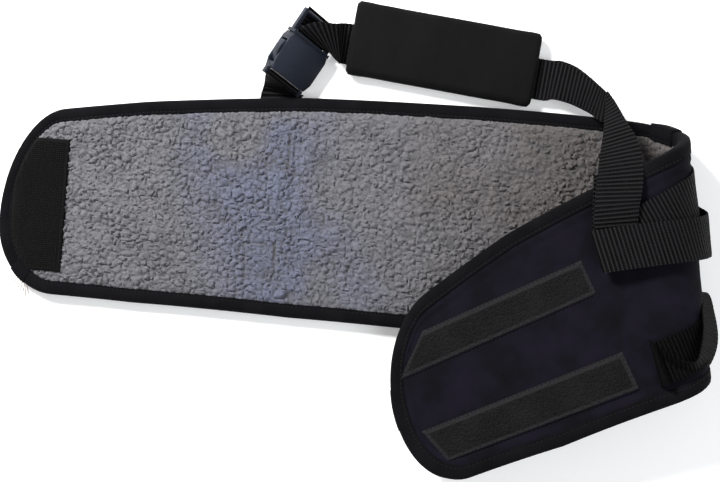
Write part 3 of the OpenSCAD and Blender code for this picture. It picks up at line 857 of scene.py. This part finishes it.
def hook_patch():
    s = np.linspace(patch_s0, patch_s1, 44)
    v = np.linspace(0, 1, 110)
    low = np.maximum(edge_t(s, -1, 8.4), -39.5)
    high = np.minimum(edge_t(s, 1, 8.4), 57.0)
    t = low[:, None] * (1 - v) + high[:, None] * v
    s = s[:, None] + 0 * t
    inside = np.minimum(t - low[:, None], high[:, None] - t)
    inside = np.minimum(inside, np.minimum(s - patch_s0, patch_s1 - s))
    round_edge = quarter_round(inside, 0.8)
    rim = smooth((2.6 - inside) / 0.8)
    swell = 0.5 * noise(s, t, 26, 71)
    edge = np.minimum(t - edge_t(s, -1, EDGE_IN), edge_t(s, 1, EDGE_IN) - t)
    edge = np.minimum(edge, s + BAND_LEN - EDGE_IN)
    puff = H_RIM + (H_TOP - H_RIM) * quarter_round(edge, PILE_RUN)
    top = puff - 0.4 + 1.3 * round_edge - 0.25 * rim + swell
    base = slab("hook_patch_tape", place(s, t, top), place(s, t, puff - 2.4), hook_mat, pattern_uv(s, t),
                {"border": 0.25 * rim})
    ns, nt = np.arange(patch_s0 + 8, patch_s1 - 3, 1.55), np.arange(-37, 55, 1.45)
    hs, ht = (g.ravel() for g in np.meshgrid(ns, nt, indexing="ij"))
    hs = hs + 0.35 * noise(hs, ht, 0.9, 72)
    keep = (ht > edge_t(hs, -1, 9.5) + 3) & (ht < edge_t(hs, 1, 9.5) - 3)
    hs, ht = hs[keep], ht[keep]
    h0 = H_TOP + 0.75 + 0.5 * noise(hs, ht, 26, 71)
    foot = place(hs, ht, h0)
    lean = 0.45 * noise(hs, ht, 0.7, 73)
    head = place(hs + lean, ht + 0.35 * noise(hs, ht, 0.8, 74), h0 + 0.95)
    facing = np.tile([1.0, 0.2, 0], (len(foot), 1))
    hooks = stitches("hook_patch_hooks", (foot + head) / 2, head - foot, facing, hook_mat_plain, 1.25, 0.3)
    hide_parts("hook_patch")
    for piece in (base, hooks):
        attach(piece, "hook_end")


hook_mat_plain = thread_material("hook_nylon", rgb(8, 8, 8), rgb(30, 30, 30), 0.5)
hook_patch()


# ---- Webbing loops

def pattern_sections(rows, width=WEB_W):
    """Sections of a strap from rows (s, t, h) of its middle line. A row may add the strap's direction."""
    rows = [tuple(r) + (0.0, 0.0)[len(r) - 3:] if len(r) < 5 else r for r in rows]
    mid = np.array([r[:3] for r in rows], float)
    out = []
    for i, row in enumerate(rows):
        a, b = mid[max(i - 1, 0)], mid[min(i + 1, len(rows) - 1)]
        run = (b - a)[:2]
        if np.linalg.norm(run) < 2.5:
            run = np.array(row[3:5]) if any(row[3:5]) else (mid[-1] - mid[0])[:2]
        if any(row[3:5]):
            run = np.array(row[3:5], float)
        run = run / np.linalg.norm(run)
        side = np.array([-run[1], run[0]]) * width / 2
        s, t, h = row[:3]
        out.append([place(s + side[0], t + side[1], h), place(s - side[0], t - side[1], h)])
    return out


def sections(*rows):
    """Sections of a strap from pairs of points on the table's axes."""
    return [[np.array(a, float), np.array(b, float)] for a, b in rows]


# upper right loop: under the band, round the bend, a turn at the eye and back beside itself
away = (1, -0.26)
back = (1, -0.05)
u_near = [(-112, 70, -1.5), (-60, 68, -1.5), (-10, 65, -1.6), (20, 61, -1.9), (50, 56, -2.2), (75, 50, -2.6),
          (100, 43.5, -4.2, *away), (118, 39, -5.4, *away), (128, 36.5, -6.2, *away)]
u_eye = [(132.6, 35.6, -7.6, *back), (134.4, 35.2, -9.6, *back), (132.4, 35, -11.6, *back)]
u_far = [(127, 34.6, -12.3, *back), (112, 33, -11.2, *back), (95, 31, -8.4, *back), (78, 28.5, -6.4, *back),
         (62, 26.5, -7.2, *back), (46, 26, -8.2, 1, -0.02), (28, 30, -6.2, 1, -0.1), (10, 38, -3.8, 1, -0.2),
         (-12, 47, -3.1, 1, -0.25), (-60, 62, -3.1, 1, -0.2), (-112, 69, -3.1, 1, -0.14)]
loop_u = webbing("webbing_loop_upper_right", pattern_sections(u_near + u_eye + u_far), web_mat)

# lower right loop, which stands open beside the bend
l_near = [(-112, -20, -1.5), (-60, -26, -1.5), (-10, -32, -1.5), (20, -36, -1.6), (50, -40, -1.8),
          (75, -44, -2), (95, -47, -2.6), (106, -48.5, -3.6)]
l_eye = [(111.5, -49.2, -5.2, 1, -0.1), (113.4, -49.4, -7.6, 1, -0.1), (111.5, -49.2, -10.2, 1, -0.1)]
l_far = sections(((198.4, -70.5, 66), (207.9, -103.9, 60)), ((209.2, -78.4, 69), (219.1, -106.0, 55)),
                 ((219.2, -84.1, 72), (228.4, -103.9, 49)), ((228.0, -84.1, 72), (239.9, -96.0, 46)),
                 ((232.0, -74.8, 70), (248.5, -85.2, 43)), ((235.2, -63.1, 64), (253.2, -71.5, 38)),
                 ((237.5, -52.1, 54), (253.8, -54.5, 28)), ((240.3, -41.7, 40), (252.3, -40.7, 16)),
                 ((238.0, -28.0, 18), (242.0, -46.0, 6.0)), ((222.0, -15.0, 3.6), (218.5, -44.5, 3.4)))
l_under = [(-20, -33, -3.1, 1, -0.1), (-60, -26, -3.1, 1, -0.1), (-112, -20, -3.1, 1, -0.1)]
# the lower right loop takes the darker webbing, painted shade for its shadowed inside
loop_l = webbing("webbing_loop_lower_right",
                 pattern_sections(l_near + l_eye) + l_far + pattern_sections(l_under), shaded_web_mat)

# lower left loop, which lies flat under the band
ll_s = -282
ll_rows = [(ll_s, t, h, 0, -1) for t, h in ((0, -1.5), (-20, -1.5), (-46, -1.5), (-48.4, -2.2), (-46, -3),
                                            (-20, -3), (0, -3))]
loop_ll = webbing("webbing_loop_lower_left", pattern_sections(ll_rows), web_mat)

for piece, node in ((loop_u, "web_loop_upper_right"), (loop_l, "web_loop_lower_right"),
                    (loop_ll, "web_loop_lower_left")):
    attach(piece, "band")
    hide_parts(node)


# ---- Buckle

BUCKLE_W = 38.0
HEADING = math.radians(56)
ROLL = math.radians(42)
BUCKLE_AT = np.array([FOLD_X - 267.8, FOLD_Y + 122.6 + BUCKLE_W / 2 * math.cos(ROLL) * math.cos(HEADING),
                      UNDER + 2.5 + BUCKLE_W / 2 * math.sin(ROLL)])
ALONG = np.array([math.cos(HEADING), math.sin(HEADING), 0])
ACROSS = np.array([math.cos(ROLL) * math.sin(HEADING), -math.cos(ROLL) * math.cos(HEADING), -math.sin(ROLL)])
OUT = np.array([math.sin(ROLL) * math.sin(HEADING), -math.sin(ROLL) * math.cos(HEADING), math.cos(ROLL)])
BAR_R = 1.7
WRAP_R = BAR_R + 0.3 + WEB_T / 2
MOUTH_Y = 33.3
INNER_BAR_Y = MOUTH_Y + 6.6


def stay(vert):
    """Leaves a point where it is."""


def close_slot(vert):
    """Carries the back edge of the socket's body towards its bar, so that the webbing fills the slot."""
    y = (np.array(vert.co) / MM - BUCKLE_AT) @ ALONG
    if 5.5 < y < 11:
        vert.co -= Vector(ALONG * MM) * 2.9 * (11 - y) / 5


def rounded_copy(node, name, body, width=0.6, move=stay):
    """A CAD node's shape with its edges softened as a moulding's are."""
    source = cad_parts[node]
    mesh = source.data.copy()
    piece = bpy.data.objects.new(name, mesh)
    bpy.context.scene.collection.objects.link(piece)
    bm = bmesh.new()
    bm.from_mesh(mesh)
    bmesh.ops.remove_doubles(bm, verts=bm.verts, dist=1e-5)
    bmesh.ops.dissolve_limit(bm, angle_limit=math.radians(2), verts=bm.verts, edges=bm.edges)
    for vert in bm.verts:
        move(vert)
    bm.to_mesh(mesh)
    bm.free()
    mesh.materials.clear()
    mesh.materials.append(plastic_mat)
    bevel = piece.modifiers.new("soft", "BEVEL")
    bevel.width = width * MM
    bevel.segments = 3
    bevel.limit_method = "ANGLE"
    bevel.angle_limit = math.radians(35)
    bevel.harden_normals = False
    bpy.context.view_layer.update()
    final = bpy.data.meshes.new_from_object(piece.evaluated_get(bpy.context.evaluated_depsgraph_get()))
    piece.modifiers.clear()
    piece.data = final
    for polygon in final.polygons:
        polygon.use_smooth = True
    final.set_sharp_from_angle(angle=math.radians(40))
    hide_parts(node)
    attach(piece, body)
    return piece


rounded_copy("buckle_socket", "buckle_socket_shell", "band", 0.8, close_slot)
rounded_copy("buckle_plug", "buckle_plug_frame", "handle", 0.5)
rounded_copy("release_arm_left", "release_arm_left_prong", "arm_left", 0.6)
rounded_copy("release_arm_right", "release_arm_right_prong", "arm_right", 0.6)


def bar_turn(y, start, end, steps=10):
    out = []
    for a in np.radians(np.linspace(start, end, steps + 1)):
        mid = BUCKLE_AT + ALONG * (y + WRAP_R * math.cos(a)) + OUT * WRAP_R * math.sin(a)
        out.append([mid - ACROSS * WEB_W / 2, mid + ACROSS * WEB_W / 2])
    return out


def flat_pair(s, t, h, half=(WEB_W / 2, 0, 0)):
    mid = place(s, t, h)
    return [mid - np.array(half), mid + np.array(half)]


eye_s, eye_t = -278, 102
loop_ul = webbing("webbing_loop_upper_left", [flat_pair(eye_s, t, -1.5) for t in (60, 76, 90, eye_t)]
                  + [flat_pair(eye_s + 2, eye_t + 4, 1.5, (14, -4, -4))]
                  + bar_turn(0, 110, -90)
                  + [flat_pair(eye_s + 1, eye_t + 3, -1.1, (14, -4, 0))]
                  + [flat_pair(eye_s, t, -2.9) for t in (eye_t - 1, 90, 76, 60)], web_mat)
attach(loop_ul, "band")
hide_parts("web_loop_upper_left")


# ---- Handle

SLEEVE_L, SLEEVE_W, SLEEVE_T = 137.0, 54.0, 14.0
SLEEVE_TURN = math.radians(-10.4)
SLEEVE_AT = np.array([FOLD_X - 149.8, FOLD_Y + 153, SLEEVE_T / 2 + 0.2])
STRAP_SHIFT = -5.5


def on_sleeve(x, y, z=0.0):
    x, y, z = np.broadcast_arrays(*(np.asarray(c, float) for c in (x, y, z)))
    return SLEEVE_AT + np.stack([x * math.cos(SLEEVE_TURN) - y * math.sin(SLEEVE_TURN),
                                 x * math.sin(SLEEVE_TURN) + y * math.cos(SLEEVE_TURN), z], -1)


def strap_pair(x):
    return [on_sleeve(x, STRAP_SHIFT + WEB_W / 2), on_sleeve(x, STRAP_SHIFT - WEB_W / 2)]


def sleeve():
    """A padded tube with a flat hole through it and soft, slightly swollen ends."""
    turns = np.linspace(0, 2 * np.pi, 96, endpoint=False)
    c, s = np.cos(turns), np.sin(turns)
    rings, uvs = [], []
    half_l = SLEEVE_L / 2

    def add(x, half_w, half_t):
        y = (half_w - half_t) * np.clip(c * 1.6, -1, 1) + half_t * np.sign(c) * np.abs(c) ** 2
        z = half_t * np.sign(s) * np.abs(s) ** 0.62
        here = np.full(len(turns), x)
        wob = 0.35 * noise(here, turns * 9, 16, 81) + 0.12 * noise(here, turns * 9, 5, 82)
        rings.append(on_sleeve(here, y * (1 + 0.2 * wob / 27), z * (1 + wob / 14)))
        uvs.append(pattern_uv(here, turns * 9))

    for x in np.linspace(-half_l, half_l, 70):
        end = half_l - abs(x)
        lip = math.sqrt(max(0.0, 1 - (1 - min(end / 1.5, 1)) ** 2))
        swell = 0.35 * math.exp(-((end - 7) / 6) ** 2)
        add(x, SLEEVE_W / 2 - 2.2 + 2.2 * lip + swell, SLEEVE_T / 2 - 1.8 + 1.8 * lip + swell * 0.7)
    hole_w, hole_t = SLEEVE_W / 2 - 4.4, 1.5
    mouth = np.linspace(half_l, half_l - 1.5, 3)
    for x in np.concatenate([mouth, np.linspace(half_l - 8, -half_l + 8, 8), -mouth[::-1]]):
        end = half_l - abs(x)
        flare = 1.2 * math.exp(-end / 1.2)
        add(x, hole_w + flare, hole_t + flare * 0.8)
    piece = loft("grip_sleeve_pad", np.array(rings), sleeve_mat, np.concatenate(uvs), looped=True)
    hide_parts("grip_sleeve")
    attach(piece, "grip")


sleeve()

# from a short tail behind the plug, round its inner bar, through the sleeve
TAIL_Y = INNER_BAR_Y + 16
tail_mid = [BUCKLE_AT + ALONG * y - OUT * WRAP_R for y in (TAIL_Y, TAIL_Y - 8)]
strap = webbing("handle_webbing", [[m - ACROSS * WEB_W / 2, m + ACROSS * WEB_W / 2] for m in tail_mid]
                + bar_turn(INNER_BAR_Y, -90, -260)
                + [[np.array([-30, 153.5, 28.5]), np.array([-18, 129.5, 14.0])],
                   [np.array([-17, 154, 20.0]), np.array([-14, 126.5, 12.0])]]
                + [strap_pair(x) for x in (-SLEEVE_L / 2 - 2, -30, 20, 52)], web_mat)
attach(strap, "handle")
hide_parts("handle_strap")

lead = webbing("strap_lead", [strap_pair(x) for x in (46, 62, 78)]
               + sections(((148, 128.4, 10.5), (141.5, 100.4, 9.6)),
                          ((158, 123.6, 14), (152.5, 97.2, 11.5)), ((166.5, 115.8, 19), (160.5, 93.2, 14)),
                          ((173.2, 107.8, 25), (167.3, 88.8, 18)), ((176.6, 103.2, 29), (173.5, 83.0, 24)),
                          ((178.3, 100.6, 31), (179, 80.5, 30))), web_mat)
fall = webbing("strap_fall_webbing", sections(
    ((177.2, 103.6, 31.5), (175.6, 102.0, 31.5)), ((179.2, 99.4, 34.5), (174.8, 96.4, 34.0)),
    ((181.6, 94.2, 38.2), (173.6, 88.6, 38.6)), ((184.6, 86.0, 43.5), (171.6, 80.0, 44.6)),
    ((188.2, 77.5, 48.5), (169.6, 71.5, 50.2)), ((191.8, 69.8, 52.5), (167.4, 62.4, 54.6)),
    ((194.2, 60.0, 57.0), (165.4, 54.0, 58.6)), ((194.9, 49.0, 61.0), (163.6, 45.0, 62.2)),
    ((194.0, 37.0, 64.4), (162.2, 35.5, 65.0)), ((192.2, 27.0, 66.4), (160.8, 26.0, 67.0)),
    ((190.8, 20.0, 67.0), (160.2, 17.0, 67.6)), ((190.2, 12.0, 66.2), (159.9, 9.5, 66.8)),
    ((190.0, 4.0, 64.4), (161.5, 2.0, 64.6)), ((190.2, -3.0, 63.4), (163.4, -4.0, 63.2)),
    ((190.2, -6.6, 62.0), (164.0, -7.6, 61.6)), ((190.2, -4.0, 60.4), (163.4, -5.0, 59.8)),
    ((190.0, 6.0, 60.8), (160.2, 4.0, 60.4)), ((189.6, 30.0, 62.6), (160.4, 28.0, 62.2)),
    ((189.6, 44.0, 62.4), (160.6, 42.0, 62.2))), web_mat)
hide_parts("strap_fall", "strap_eye")
for piece in (lead, fall):
    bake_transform(piece)


# ---- Floor and light

def stage():
    net = Net("floor_paper", Specular_IOR_Level=0.1, Emission_Color=(1, 1, 1, 1), Emission_Strength=0.22)
    here = net.here()
    tone = net.noise(here, 3, 2, 0.5)
    net.finish(net.mix(tone, (0.93, 0.93, 0.93, 1), (0.95, 0.95, 0.95, 1)), 0.95, net.bump(tone, 0.02, 0.001))
    mesh = bpy.data.meshes.new("floor")
    size, low = 4.0, -0.0006
    corners = [(-size, -size, low), (size, -size, low), (size, size, low), (-size, size, low)]
    mesh.from_pydata(corners, [], [(0, 1, 2, 3)])
    mesh.materials.append(net.material)
    floor = bpy.data.objects.new("floor", mesh)
    bpy.context.scene.collection.objects.link(floor)


def lamp(name, at, aim, size, power, colour):
    data = bpy.data.lights.new(name, "AREA")
    data.shape = "DISK"
    data.size = size
    data.energy = power
    data.color = colour
    obj = bpy.data.objects.new(name, data)
    obj.location = at
    obj.rotation_euler = (Vector(aim) - Vector(at)).to_track_quat("-Z", "Y").to_euler()
    bpy.context.scene.collection.objects.link(obj)


stage()
lamp("key", (-0.6, 0.7, 0.85), (0, 0, 0), 0.3, 30, (1, 0.99, 0.97))
lamp("fill", (0.8, -0.3, 1.3), (0, 0, 0), 1.2, 10, (0.94, 0.97, 1))
world = bpy.data.worlds.new("studio")
world.use_nodes = True
background = world.node_tree.nodes["Background"]
background.inputs["Color"].default_value = (1, 1, 1, 1)
background.inputs["Strength"].default_value = 0.42
bpy.context.scene.world = world
bpy.context.scene.view_settings.view_transform = "Standard"
